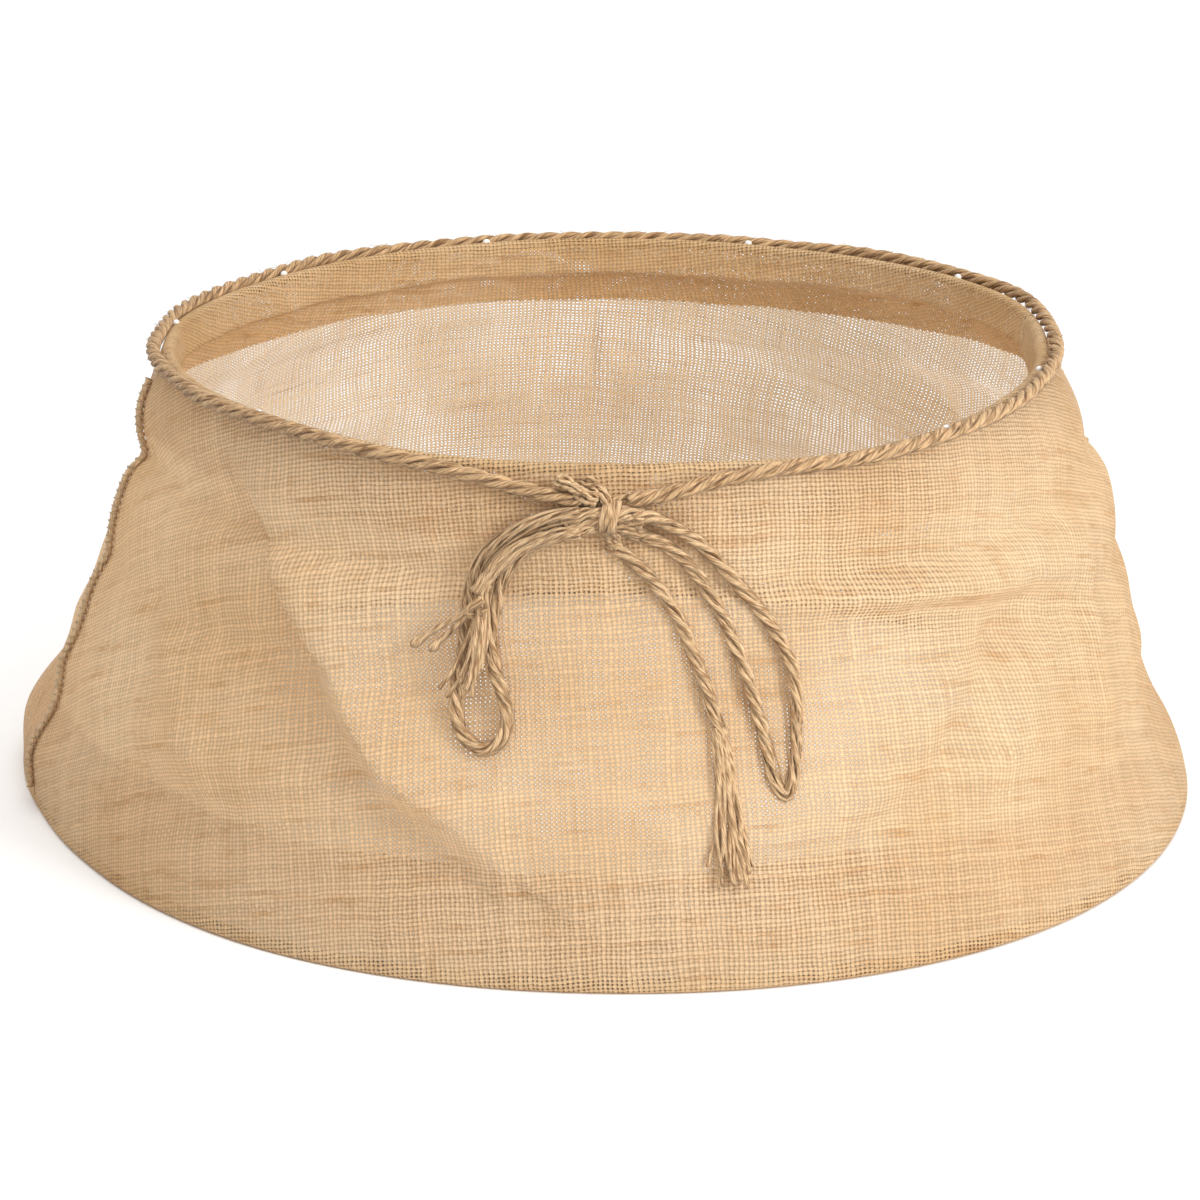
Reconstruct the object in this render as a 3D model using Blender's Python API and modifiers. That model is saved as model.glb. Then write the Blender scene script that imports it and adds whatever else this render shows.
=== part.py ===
"""Burlap tree collar: a flared cloth sleeve between two wire hoops, tied round the rim with a jute rope.

Z is up, the floor is z = 0, and the bow faces -Y. An azimuth is in degrees from -Y, positive towards +X.
The sleeve is a truncated cone of two cloth panels joined by a seam at each side. Each panel is folded
over the top hoop into a facing and under the bottom hoop into a hem. The rim, with its hoop and its
rope, drops straight down inside the base when the collar is pushed flat.
"""

import math

import bmesh
import bpy
from mathutils import Matrix, Vector

HEIGHT = 0.250
RIM_RADIUS = 0.246
BASE_RADIUS = 0.330
FLARE = (BASE_RADIUS - RIM_RADIUS) / HEIGHT

CLOTH = 0.001
GAP = 0.0003
CHANNEL = 0.0066  # clear width of the fold that holds a hoop
FACING_DEPTH = 0.040
HEM_DEPTH = 0.057
HEM_LIP = 0.008  # how far the hem's outer side stands above the floor
HEM_FOOT = 0.0094  # width of the hem's flat foot, between the middles of its two sides

SEGMENTS = 64
STEP = 360 / SEGMENTS
LEFT_SEAM = -14 * STEP
RIGHT_SEAM = LEFT_SEAM + 180
SEAM_RADIUS = 0.0025

WIRE_RADIUS = 0.00175
SLEEVE_INNER = 0.00215
SLEEVE_OUTER = 0.00275
SLEEVE_LENGTH = 0.018
TOP_SPLICE = 90 + STEP / 2
BASE_SPLICE = 180 + STEP / 2

ROPE_RADIUS = 0.004
ROPE_STANDOFF = 0.0052  # from the cloth's middle to the rope's centre
ROPE_LEVEL = 0.2485
ROPE_SAG = 0.0145  # how much lower the rope is at the knot
ROPE_SAG_WIDTH = 14.0
ROPE_ENDS = (3.0, 358.1)
CORD_SPACING = 0.016

KNOT = (0.7, 0.229, 0.0108)
KNOT_SIZE = (0.009, 0.008, 0.012)
TACK_AZIMUTHS = (-97, -130, -164, 159, 124, 75, 46, -45)
TACK_RADIUS = 0.0019

# Routes of the loose rope: azimuth in degrees, height and stand-off from the cloth in millimetres.
LEFT_LOOP = [
    (-1.9, 221, 6), (-5.0, 217, 6), (-8.0, 209, 6), (-9.9, 198, 6), (-10.7, 184, 6), (-11.0, 168, 6),
    (-10.6, 154, 6), (-9.6, 142, 6), (-9.0, 131, 6), (-9.6, 120, 6), (-11.3, 115.5, 6), (-13.1, 121, 6),
    (-14.1, 132, 6), (-14.2, 145, 6), (-13.9, 160, 6), (-13.8, 175, 6), (-13.6, 190, 6), (-12.4, 205, 7),
    (-9.6, 218, 10), (-6.0, 227, 13), (-2.2, 231, 14),
]
RIGHT_LOOP = [
    (3.4, 227, 12), (5.6, 226, 11), (9.2, 217, 8), (11.5, 208, 6), (13.6, 196.5, 6), (15.6, 185, 6),
    (17.3, 174, 6), (18.6, 163, 6), (19.4, 151, 6), (19.6, 139, 6), (19.3, 125, 6), (18.9, 111, 6),
    (18.4, 98, 6), (17.5, 90.5, 6), (16.6, 97, 6), (16.2, 109, 6), (15.7, 125, 6), (15.0, 142, 6),
    (14.0, 159, 6), (12.9, 174, 6), (11.3, 189, 6), (9.2, 203, 6), (6.4, 213, 6), (2.9, 219.5, 6),
]
LEFT_TAIL = [
    (-2.0, 219, 14.8), (-5.0, 216.5, 14.8), (-8.2, 210, 14.8), (-10.6, 200, 14.8), (-12.1, 189.5, 15),
]
RIGHT_TAIL = [
    (0.9, 213, 6), (3.4, 205, 6), (5.5, 195, 6), (7.2, 184, 6), (8.5, 172, 6), (9.4, 160, 6),
    (10.2, 149, 6), (10.9, 138, 6), (11.4, 127, 6), (11.6, 122, 6),
]
KNOT_TURN = [(-4.2, 243.5, 13.5), (-3.1, 242, 14), (-2.0, 240, 13.5)]
LEFT_TAIL_KNOT = (-12.9, 181.0, 16.2)
LEFT_TAIL_KNOT_RADIUS = 0.005
LEFT_TASSEL = [(-13.8, 175, 15.5), (-15.8, 163, 14), (-17.6, 150, 11)]
LEFT_TASSEL_RADII = (0.0035, 0.005, 0.008)
RIGHT_TASSEL = [(11.65, 120.5, 6.5), (11.8, 98, 8.5), (11.9, 76, 10.5), (11.95, 56, 11)]
RIGHT_TASSEL_RADII = (0.004, 0.0065, 0.009, 0.0095)


def cone_radius(height):
    """Radius of the cloth's middle surface at a height above the floor."""
    return BASE_RADIUS - FLARE * height


def spot(azimuth, height, standoff=0.0):
    """The point at an azimuth and a height, a distance outside the cloth's middle surface."""
    radius = cone_radius(height) + standoff
    turn = math.radians(azimuth)
    return Vector((radius * math.sin(turn), -radius * math.cos(turn), height))


def clear_scene():
    for obj in list(bpy.data.objects):
        bpy.data.objects.remove(obj, do_unlink=True)


def make_material(name, colour, roughness, metallic=0.0):
    material = bpy.data.materials.new(name)
    material.use_nodes = True
    shader = material.node_tree.nodes["Principled BSDF"]
    shader.inputs["Base Color"].default_value = (*colour, 1.0)
    shader.inputs["Roughness"].default_value = roughness
    shader.inputs["Metallic"].default_value = metallic
    return material


def add_object(name, data, look, parent=None):
    """Links an object into the collar's collection; look is (colour, roughness, metallic)."""
    data.materials.append(make_material(name, *look))
    obj = bpy.data.objects.new(name, data)
    collar.objects.link(obj)
    obj.parent = parent
    return obj


def swept_profile(name, profile, start, sweep, look, parent=None, closed=False, steps=None):
    """A profile of (radius, height) points turned about Z from an azimuth through sweep degrees."""
    mesh = bpy.data.meshes.new(name)
    edges = [(i, i + 1) for i in range(len(profile) - 1)]
    if closed:
        edges.append((len(profile) - 1, 0))
    mesh.from_pydata([(radius, 0, height) for radius, height in profile], edges, [])
    obj = add_object(name, mesh, look, parent)
    obj.rotation_euler.z = math.radians(start - 90)
    screw = obj.modifiers.new("turn", "SCREW")
    screw.angle = math.radians(sweep)
    screw.steps = screw.render_steps = steps or round(sweep / STEP)
    screw.use_merge_vertices = False
    screw.use_smooth_shade = True
    return obj


def cloth_band(name, profile, start, sweep, look, parent=None):
    """A turned strip of cloth: the profile is the middle of the cloth, and Solidify gives its thickness."""
    obj = swept_profile(name, profile, start, sweep, look, parent)
    thick = obj.modifiers.new("thickness", "SOLIDIFY")
    thick.thickness = CLOTH
    thick.offset = 0.0
    thick.use_even_offset = True
    return obj


def tube(name, points, radius, look, parent=None, radii=None):
    """A round cord or wire along the points; radii, where given, are the radius at each point."""
    curve = bpy.data.curves.new(name, "CURVE")
    curve.dimensions = "3D"
    curve.bevel_depth = radius
    curve.bevel_resolution = 2
    curve.use_fill_caps = True
    spline = curve.splines.new("POLY")
    spline.points.add(len(points) - 1)
    for i, place in enumerate(points):
        spline.points[i].co = (*place, 1.0)
        spline.points[i].radius = radii[i] / radius if radii else 1.0
    return add_object(name, curve, look, parent)


def smooth_path(route, spacing):
    """Evenly spaced points on a Catmull-Rom curve through the route's own points."""
    places = [spot(azimuth, height / 1000, standoff / 1000) for azimuth, height, standoff in route]
    padded = [2 * places[0] - places[1], *places, 2 * places[-1] - places[-2]]
    fine = []
    for a, b, c, d in zip(padded, padded[1:], padded[2:], padded[3:], strict=False):
        for k in range(12):
            t = k / 12
            bend = (2 * a - 5 * b + 4 * c - d) * t**2 + (3 * b - a - 3 * c + d) * t**3
            fine.append(0.5 * (2 * b + (c - a) * t + bend))
    fine.append(places[-1])
    lengths = [0.0]
    for p, q in zip(fine, fine[1:], strict=False):
        lengths.append(lengths[-1] + (q - p).length)
    count = max(2, round(lengths[-1] / spacing))
    result, k = [], 0
    for i in range(count + 1):
        target = lengths[-1] * i / count
        while k < len(fine) - 2 and lengths[k + 1] < target:
            k += 1
        share = (target - lengths[k]) / (lengths[k + 1] - lengths[k])
        result.append(fine[k].lerp(fine[k + 1], min(share, 1.0)))
    return result


def make_panel(name, start, look):
    """One half of the sleeve, from just above the hem's outer lip to just below the fold over the hoop."""
    low, high = HEM_LIP + 2 * GAP, HEIGHT - CLOTH - CHANNEL / 2 - 2 * GAP
    profile = [(cone_radius(z), z) for z in (high, (low + high) / 2, low)]
    seam_gap = math.degrees(GAP / RIM_RADIUS)
    cloth_band(name, profile, start + seam_gap / 2, 180 - seam_gap, look)


def make_facing(name, start, look, parent):
    """The fold over the top hoop and the turned-in band below it, with heights from the rim down."""
    reach = (CHANNEL + CLOTH) / 2
    centre = RIM_RADIUS - reach
    level = -CLOTH / 2 - reach
    profile = [
        (centre + reach * math.cos(math.radians(a)), level + reach * math.sin(math.radians(a)))
        for a in range(0, 181, 45)
    ]
    foot = HEIGHT - FACING_DEPTH
    profile.append((cone_radius(foot) - CLOTH - 2 * GAP, -FACING_DEPTH))
    seam_gap = math.degrees(GAP / RIM_RADIUS)
    cloth_band(name, profile, start + seam_gap / 2, 180 - seam_gap, look, parent)


def make_hem(name, start, look):
    """The fold under the bottom hoop, flat on the floor, and the turned-up band inside the panel."""
    foot = CLOTH / 2
    inner = BASE_RADIUS - HEM_FOOT
    profile = [
        (cone_radius(HEM_LIP), HEM_LIP),
        (BASE_RADIUS, foot),
        (inner, foot),
        (inner, CHANNEL),
        (cone_radius(HEM_DEPTH) - CLOTH - 2 * GAP, HEM_DEPTH),
    ]
    seam_gap = math.degrees(GAP / RIM_RADIUS)
    cloth_band(name, profile, start + seam_gap / 2, 180 - seam_gap, look)


def make_side_seam(name, azimuth, look):
    """The rolled ridge where the two panels are sewn together, down one side."""
    standoff = CLOTH / 2 + 2 * GAP + SEAM_RADIUS
    top, foot = HEIGHT - 0.014, HEM_LIP + 0.002
    heights = [foot + (top - foot) * k / 6 for k in range(7)]
    tube(name, [spot(azimuth, z, standoff) for z in heights], SEAM_RADIUS, look)


def make_hoop(name, radius, level, splice, look, parent=None):
    """A wire ring whose two ends meet at the splice, halfway along one straight facet."""
    middle = radius * math.cos(math.radians(STEP / 2))
    azimuths = [splice + STEP / 2 + STEP * k for k in range(SEGMENTS)]
    turns = [math.radians(a) for a in azimuths]
    points = [Vector((radius * math.sin(t), -radius * math.cos(t), level)) for t in turns]
    turn = math.radians(splice)
    centre = Vector((middle * math.sin(turn), -middle * math.cos(turn), level))
    along = Vector((math.cos(turn), math.sin(turn), 0))
    tube(name, [centre + GAP * along, *points, centre - GAP * along], WIRE_RADIUS, look, parent)
    return centre, along


def make_splice(name, centre, along, look, parent=None):
    """The crimped sleeve that joins the wire's two ends."""
    half = SLEEVE_LENGTH / 2
    profile = [(SLEEVE_OUTER, half), (SLEEVE_OUTER, -half), (SLEEVE_INNER, -half), (SLEEVE_INNER, half)]
    sleeve = swept_profile(name, profile, 90, 360, look, parent, closed=True, steps=12)
    sleeve.location = centre
    sleeve.rotation_euler = along.to_track_quat("Z", "Y").to_euler()


def rope_height(azimuth):
    """The rope's centre above the floor: level at the sides and back, sagging towards the knot."""
    turn = (azimuth + 180) % 360 - 180
    return ROPE_LEVEL - ROPE_SAG * math.exp(-((turn / ROPE_SAG_WIDTH) ** 2))


def make_rim_rope(look, parent):
    """The rope round the rim, from the knot's right side the long way to its left side."""
    first, last = ROPE_ENDS
    azimuths = [first, *(STEP * k for k in range(1, SEGMENTS)), last]
    points = [spot(a, rope_height(a), ROPE_STANDOFF) - Vector((0, 0, HEIGHT)) for a in azimuths]
    tube("rim_rope", points, ROPE_RADIUS, look, parent)


def make_ball(name, azimuth, height, standoff, size, look, parent=None, sides=16):
    """A rounded lump with half sizes (across, outwards, up), turned to face away from the axis."""
    mesh = bpy.data.meshes.new(name)
    shape = bmesh.new()
    bmesh.ops.create_uvsphere(shape, u_segments=sides, v_segments=sides * 5 // 8, radius=1.0)
    bmesh.ops.transform(shape, matrix=Matrix.Diagonal((*size, 1.0)), verts=shape.verts)
    shape.to_mesh(mesh)
    shape.free()
    mesh.shade_smooth()
    obj = add_object(name, mesh, look, parent)
    obj.location = spot(azimuth, height, standoff) - (parent.location if parent else Vector())
    obj.rotation_euler.z = math.radians(azimuth)


def make_tacks(look, parent):
    """White tacks in the crease between the rope and the fold over the top hoop."""
    size = (TACK_RADIUS, TACK_RADIUS, TACK_RADIUS)
    for number, azimuth in enumerate(TACK_AZIMUTHS, start=1):
        make_ball(f"rope_tack_{number:02d}", azimuth, HEIGHT + 0.0016, 0.0001, size, look, parent, sides=8)


def make_loose_rope(look, parent):
    """The bow's loops and tails, each with what is on its end, and the knot that they come out of."""
    for name, route in (
        ("left_bow_loop", LEFT_LOOP),
        ("right_bow_loop", RIGHT_LOOP),
        ("left_tail", LEFT_TAIL),
        ("right_tail", RIGHT_TAIL),
    ):
        tube(name, smooth_path(route, CORD_SPACING), ROPE_RADIUS, look)
    for name, route, radii in (
        ("left_tassel", LEFT_TASSEL, LEFT_TASSEL_RADII),
        ("right_tassel", RIGHT_TASSEL, RIGHT_TASSEL_RADII),
    ):
        points = [spot(azimuth, height / 1000, standoff / 1000) for azimuth, height, standoff in route]
        tube(name, points, ROPE_RADIUS, look, radii=radii)
    azimuth, height, standoff = LEFT_TAIL_KNOT
    size = (LEFT_TAIL_KNOT_RADIUS,) * 3
    make_ball("left_tail_knot", azimuth, height / 1000, standoff / 1000, size, look, sides=12)
    make_ball("bow_knot", *KNOT, KNOT_SIZE, look, parent)
    turn = [place - parent.location for place in smooth_path(KNOT_TURN, ROPE_RADIUS * 1.5)]
    tube("knot_turn", turn, ROPE_RADIUS, look, parent)


clear_scene()
collar = bpy.data.collections.new("tree_collar")
bpy.context.scene.collection.children.link(collar)

burlap = ((0.60, 0.42, 0.24), 0.95)
turned_burlap = ((0.52, 0.35, 0.19), 0.95)
jute = ((0.50, 0.35, 0.20), 0.9)
wire = ((0.35, 0.34, 0.33), 0.35, 1.0)
crimp = ((0.55, 0.55, 0.54), 0.4, 1.0)
nylon = ((0.9, 0.9, 0.88), 0.4)

rim = bpy.data.objects.new("rim_axis", None)
rim.location = (0, 0, HEIGHT)
collar.objects.link(rim)

make_panel("front_panel", LEFT_SEAM, burlap)
make_panel("back_panel", RIGHT_SEAM, burlap)
make_facing("front_top_facing", LEFT_SEAM, turned_burlap, rim)
make_facing("back_top_facing", RIGHT_SEAM, turned_burlap, rim)
make_hem("front_bottom_hem", LEFT_SEAM, turned_burlap)
make_hem("back_bottom_hem", RIGHT_SEAM, turned_burlap)
make_side_seam("left_side_seam", LEFT_SEAM, burlap)
make_side_seam("right_side_seam", RIGHT_SEAM, burlap)

hoop_inset = (CHANNEL + CLOTH) / 2
top_place = make_hoop("top_hoop", RIM_RADIUS - hoop_inset, -CLOTH / 2 - hoop_inset, TOP_SPLICE, wire, rim)
make_splice("top_hoop_splice", *top_place, crimp, rim)
base_level = CLOTH + GAP + SLEEVE_OUTER
base_hoop_radius = BASE_RADIUS - HEM_FOOT + CLOTH / 2 + 2 * GAP + SLEEVE_OUTER
base_place = make_hoop("bottom_hoop", base_hoop_radius, base_level, BASE_SPLICE, wire)
make_splice("bottom_hoop_splice", *base_place, crimp)

make_rim_rope(jute, rim)
make_loose_rope(jute, rim)
make_tacks(nylon, rim)
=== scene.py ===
"""Looks of the burlap tree collar: cloth sleeve, hoops, laid jute rope and its bow.

Metres, Z up, the floor is z = 0 and the bow faces -Y. An azimuth is measured from -Y, positive towards +X.
"""

import math

import bpy
import numpy as np
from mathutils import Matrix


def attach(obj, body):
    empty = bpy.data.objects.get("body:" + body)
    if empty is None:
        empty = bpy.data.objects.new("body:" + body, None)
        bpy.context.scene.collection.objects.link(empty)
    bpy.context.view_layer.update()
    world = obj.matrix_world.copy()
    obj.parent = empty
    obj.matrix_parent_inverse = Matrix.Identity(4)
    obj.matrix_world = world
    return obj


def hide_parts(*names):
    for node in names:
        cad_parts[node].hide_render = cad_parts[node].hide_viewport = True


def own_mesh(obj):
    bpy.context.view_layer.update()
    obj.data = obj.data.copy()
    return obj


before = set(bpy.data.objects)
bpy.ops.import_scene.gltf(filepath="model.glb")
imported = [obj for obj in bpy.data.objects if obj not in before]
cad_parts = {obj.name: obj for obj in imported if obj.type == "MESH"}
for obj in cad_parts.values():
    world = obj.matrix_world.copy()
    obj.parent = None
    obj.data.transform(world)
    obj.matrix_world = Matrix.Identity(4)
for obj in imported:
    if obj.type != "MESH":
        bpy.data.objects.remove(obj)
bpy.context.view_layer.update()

HEIGHT = 0.250
BASE_RADIUS = 0.330
FLARE = (0.330 - 0.246) / HEIGHT
PANEL_TOP = 0.2457  # where the panel ends and the fold over the top hoop begins
PANEL_FOOT = 0.008  # where the panel ends and the fold under the bottom hoop begins
FOLD_REACH = 0.0038  # from the top hoop's middle to the middle of the cloth over it
CONE_SINE = 0.3185  # sine of the sleeve's half angle: turn of the flat cut for each turn of the sleeve
LEFT_SEAM = math.radians(-78.75)
RIGHT_SEAM = math.radians(101.25)
WARP_PITCH = 0.0025
WEFT_PITCH = 0.0021

ROPE_RADIUS = 0.004
ROPE_LAY = 0.040  # length in which one strand goes once round the rope
ROPE_STANDOFF = 0.0052
STRAND_SHARE = 0.4641  # radius of each of three strands that touch, as a share of the rope's
LOOSE_YARN_BUMPS = 5.1
GOLDEN_TURN = 2.39996  # radians between one yarn of a bundle and the next
HAIR_RADIUS = 0.00011
SEAM_STANDOFF = 0.0022
ROPE_ENDS = (3.0, 358.1)

# Routes of the loose rope: azimuth in degrees, height and stand-off from the cloth in millimetres.
LEFT_LOOP = [
    (-1.9, 221, 6), (-5.0, 217, 6), (-8.0, 209, 6), (-9.9, 198, 6), (-10.7, 184, 6), (-11.0, 168, 6),
    (-10.6, 154, 6), (-9.6, 142, 6), (-9.0, 131, 6), (-9.6, 120, 6), (-11.3, 115.5, 6), (-13.1, 121, 6),
    (-14.1, 132, 6), (-14.2, 145, 6), (-13.9, 160, 6), (-13.8, 175, 6), (-13.6, 190, 6), (-12.4, 205, 7),
    (-9.6, 218, 10), (-6.0, 227, 13), (-2.2, 231, 14),
]
RIGHT_LOOP = [
    (3.4, 227, 12), (5.6, 226, 11), (9.2, 217, 8), (11.5, 208, 6), (13.6, 196.5, 6), (15.6, 185, 6),
    (17.3, 174, 6), (18.6, 163, 6), (19.4, 151, 6), (19.6, 139, 6), (19.3, 125, 6), (18.9, 111, 6),
    (18.4, 98, 6), (17.5, 90.5, 6), (16.6, 97, 6), (16.2, 109, 6), (15.7, 125, 6), (15.0, 142, 6),
    (14.0, 159, 6), (12.9, 174, 6), (11.3, 189, 6), (9.2, 203, 6), (6.4, 213, 6), (2.9, 219.5, 6),
]
LEFT_TAIL = [
    (-2.0, 219, 14.8), (-5.0, 216.5, 14.8), (-8.2, 210, 14.8), (-10.6, 200, 14.8), (-12.1, 189.5, 15),
]
RIGHT_TAIL = [
    (0.9, 213, 6), (3.4, 205, 6), (5.5, 195, 6), (7.2, 184, 6), (8.5, 172, 6), (9.4, 160, 6),
    (10.2, 149, 6), (10.9, 138, 6), (11.4, 127, 6), (11.6, 122, 6),
]
KNOT_TURN = [(-4.6, 244.5, 12), (-3.4, 242.5, 14), (-2.0, 239, 14.5), (-0.4, 234, 13)]
TACK_AZIMUTHS = (-97, -130, -164, 159, 124, 75, 46, -45)


# ---------------------------------------------------------------- shape of the sleeve


def across(azimuth, centre, width):
    """A smooth bell, 1 at the centre azimuth and falling with the square of the turn from it, in degrees."""
    turn = (np.degrees(azimuth) - centre + 180) % 360 - 180
    return np.exp(-((turn / width) ** 2))


def fold(azimuth, height, route, rise, left, right):
    """A soft fold along a route of (azimuth in degrees, height in mm) points on the rolled-out cloth.

    Its rise is greatest on the route and falls as exp(-(d / w)^1.5) with the distance d from it, where w is
    one width on the left of the route and another on its right. It fades to nothing at both ends.
    """
    scale = 290.0
    here = np.stack([(azimuth + math.pi) % (2 * math.pi) - math.pi, height * 1000.0], axis=-1)
    here[..., 0] *= scale
    ends = np.array([(math.radians(a) * scale, z) for a, z in route])
    runs = np.linalg.norm(np.diff(ends, axis=0), axis=1)
    starts = np.concatenate([[0.0], np.cumsum(runs)])
    best = np.full(azimuth.shape, np.inf)
    side = np.zeros(azimuth.shape)
    share = np.zeros(azimuth.shape)
    for k in range(len(runs)):
        step = ends[k + 1] - ends[k]
        away = here - ends[k]
        t = np.clip((away @ step) / runs[k] ** 2, 0, 1)
        gap = away - t[..., None] * step
        distance = np.hypot(gap[..., 0], gap[..., 1])
        nearer = distance < best
        best = np.where(nearer, distance, best)
        side = np.where(nearer, step[0] * away[..., 1] - step[1] * away[..., 0], side)
        share = np.where(nearer, (starts[k] + t * runs[k]) / starts[-1], share)
    width = np.where(side > 0, left, right)
    ends_fade = np.sin(math.pi * np.clip(0.06 + 0.88 * share, 0, 1)) ** 0.6
    return rise * 0.0013 * ends_fade * np.exp(-((best / width) ** 1.5))


def ring_table(azimuth, table, column):
    """Metres read from a table of azimuths, joined smoothly all the way round."""
    fine = np.arange(-180, 180, 0.5)
    line = np.interp(fine, [row[0] for row in table], [row[column] for row in table], period=360)
    bell = np.exp(-((np.arange(-20, 21) / 9.0) ** 2))
    wrapped = np.concatenate([line[-20:], line, line[:20]])
    smooth = np.convolve(wrapped, bell / bell.sum(), mode="valid")
    return 0.001 * np.interp(np.degrees(azimuth), fine, smooth, period=360)


def side_outline(height, table):
    """Stand-off in metres read from (height in mm, stand-off in mm) points joined by smooth steps."""
    heights = np.array([h for h, _ in table], float)
    values = np.array([v for _, v in table], float)
    fine = np.linspace(heights[0], heights[-1], 400)
    line = np.interp(fine, heights, values)
    bell = np.exp(-((np.arange(-24, 25) / 11.0) ** 2))
    padded = np.concatenate([np.full(24, line[0]), line, np.full(24, line[-1])])
    smooth = np.convolve(padded, bell / bell.sum(), mode="valid")
    return 0.001 * np.interp(height * 1000, fine, smooth)


RIM_ROUND = [  # azimuth, how far the rim stands out of its circle and above its level, in millimetres
    (-150, 3, 0), (-126, -5, 0.5), (-110, -7, 1), (-90, -9, 3), (-65, -5, 5.5), (-46, 0, 6), (-35, 2.5, 4.5),
    (-24, 4.5, 1.5), (-12, 5.5, 0.5), (0, 6, 0), (12, 5.5, -0.5), (20, 4.5, -2.5), (31, 2.5, -5),
    (42, 0.5, -4), (55, -2, -2.5), (72, -3.5, -0.5), (88, -3.5, 1), (98, 0, 2), (110, 6, 2.2), (125, 6, 2),
    (150, 4, 1),
    (180, 6, 0.5),
]
FOOT_ROUND = [  # azimuth and how far the foot stands out of its circle
    (-150, 5), (-120, 7), (-100, 5), (-90, -2), (-75, -13), (-60, -15.5), (-45, -12), (-30, -7.5),
    (-15, -4.5), (0, -2), (15, 2), (30, 5.5), (45, 6.5), (60, 4), (75, 1.5), (90, 2), (120, 5), (150, -1),
    (180, 0),
]
LEFT_OUTLINE = [  # height and stand-off of the cloth at its left side, then at its right side
    (0, 0), (12, 4), (30, 10.5), (42, 6.5), (52, -0.5), (66, -3), (100, -2), (136, 2), (160, -2), (187, -5),
    (208, 2.5), (228, 4), (250, 0),
]
RIGHT_OUTLINE = [
    (0, 0), (14, 2.5), (28, 1.5), (42, -2.5), (62, -4), (78, -5), (101, -0.5), (127, 7), (150, 11),
    (187, 14), (208, 11), (230, 4), (250, 1),
]
FOLDS = [  # route, rise, width on its left, width on its right
    ([(-47, 222), (-42, 205), (-38.5, 187), (-32.6, 162), (-26.5, 133), (-20.8, 99), (-14.5, 83),
      (-8.5, 58)], 10.0, 34, 8),
    ([(-49, 222), (-45.5, 205), (-42.5, 187), (-37.2, 162), (-31.3, 133), (-25.8, 99), (-19.8, 80),
      (-13, 56)], -8.5, 9, 24),
    ([(-43, 158), (-34, 140), (-27, 124), (-19.5, 93)], 3.6, 16, 8),
    ([(-60, 170), (-54, 130), (-47, 92), (-42, 66)], 4.4, 20, 11),
    ([(-66, 190), (-62, 150), (-60, 110), (-60, 70)], -4.0, 14, 20),
    ([(-56, 62), (-48, 56), (-38, 60)], -4.0, 9, 14),
    ([(17, 184), (27, 179), (36, 176), (47, 168), (60, 161)], 6.0, 14, 9),
    ([(17, 172), (27, 168), (36, 165), (47, 157), (60, 150)], -6.5, 8, 22),
    ([(54, 162), (47, 140), (41, 118), (35, 95), (29, 76), (24, 62)], -6.4, 24, 10),
    ([(60, 150), (54, 130), (47, 105), (41, 86), (35, 66)], 3.2, 14, 20),
    ([(-9, 118), (-3.9, 105), (4.7, 80), (9, 60)], 3.0, 16, 9),
    ([(64, 196), (66, 150), (62, 100), (60, 60)], 3.4, 12, 12),
    ([(76, 150), (75, 110), (72, 70)], 1.5, 8, 8),
    ([(8, 60), (16, 56), (26, 60)], -2.4, 9, 14),
    ([(-177, 200), (180, 182), (177.5, 165), (175, 140)], -8.0, 20, 6),
    ([(166, 178), (158, 160), (150, 145)], 6.0, 14, 10),
    ([(-150, 175), (-158, 155), (-170, 142), (176, 138)], -5.0, 16, 12),
    ([(140, 190), (132, 150), (128, 100)], 6.0, 16, 16),
    ([(-128, 190), (-136, 150), (-150, 110)], 5.0, 18, 14),
    ([(-112, 200), (-116, 140), (-112, 80)], 4.0, 16, 16),
    ([(114, 190), (118, 140), (112, 80)], 4.0, 16, 16),
    ([(150, 110), (166, 90), (-176, 80)], 4.0, 16, 16),
]


def undulation(azimuth, height, seed, size):
    """Slow unevenness of soft cloth: nine sine waves that go a whole number of times round the sleeve."""
    dice = np.random.RandomState(seed)
    total = np.zeros(np.broadcast(azimuth, height).shape)
    for turns in (3, 5, 8, 11, 15, 19, 24, 31, 38):
        climb, phase = dice.uniform(-60, 60), dice.uniform(0, 2 * math.pi)
        total = total + np.sin(turns * azimuth + climb * height + phase) / turns**0.6
    return size * total


def unevenness(azimuth, seed, size):
    """The same round a ring."""
    return undulation(azimuth, 0 * azimuth, seed, size)


def cloth_radius(azimuth, height):
    """Distance of the cloth's middle from the axis.

    It is a cone between a foot and a rim that are each a little out of round, plus what its two side
    outlines, its folds and its slow unevenness add. The folds die out at both hoops and behind the bow.
    """
    azimuth, height = np.broadcast_arrays(np.asarray(azimuth, float), np.asarray(height, float))
    share = height / HEIGHT
    radius = BASE_RADIUS - FLARE * height
    radius = radius + share * ring_table(azimuth, RIM_ROUND, 1)
    radius = radius + (1 - share) * ring_table(azimuth, FOOT_ROUND, 1)
    radius = radius + side_outline(height, LEFT_OUTLINE) * across(azimuth, -92, 24)
    radius = radius + side_outline(height, RIGHT_OUTLINE) * across(azimuth, 86, 30)
    free = np.clip(height / 0.045, 0, 1) * np.clip((HEIGHT - height) / 0.045, 0, 1)
    free = free * free * (3 - 2 * free)
    soft = undulation(azimuth, height, 4, 0.0006)
    for route, rise, left, right in FOLDS:
        soft = soft + fold(azimuth, height, route, rise, left, right)
    behind_bow = 1 - 0.8 * across(azimuth, 4, 17) * np.clip((height - 0.07) / 0.04, 0, 1)
    groove = 0.0036 * across(azimuth, -79.5, 3.2) + 0.0008 * across(azimuth, -70, 5.0)
    groove = groove - 0.0046 * across(azimuth, -90.5, 6.5) * np.clip((height - 0.065) / 0.02, 0, 1)
    groove = groove - 0.003 * across(azimuth, 101.25, 2.2)
    return radius + free * (soft * behind_bow + groove)


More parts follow.
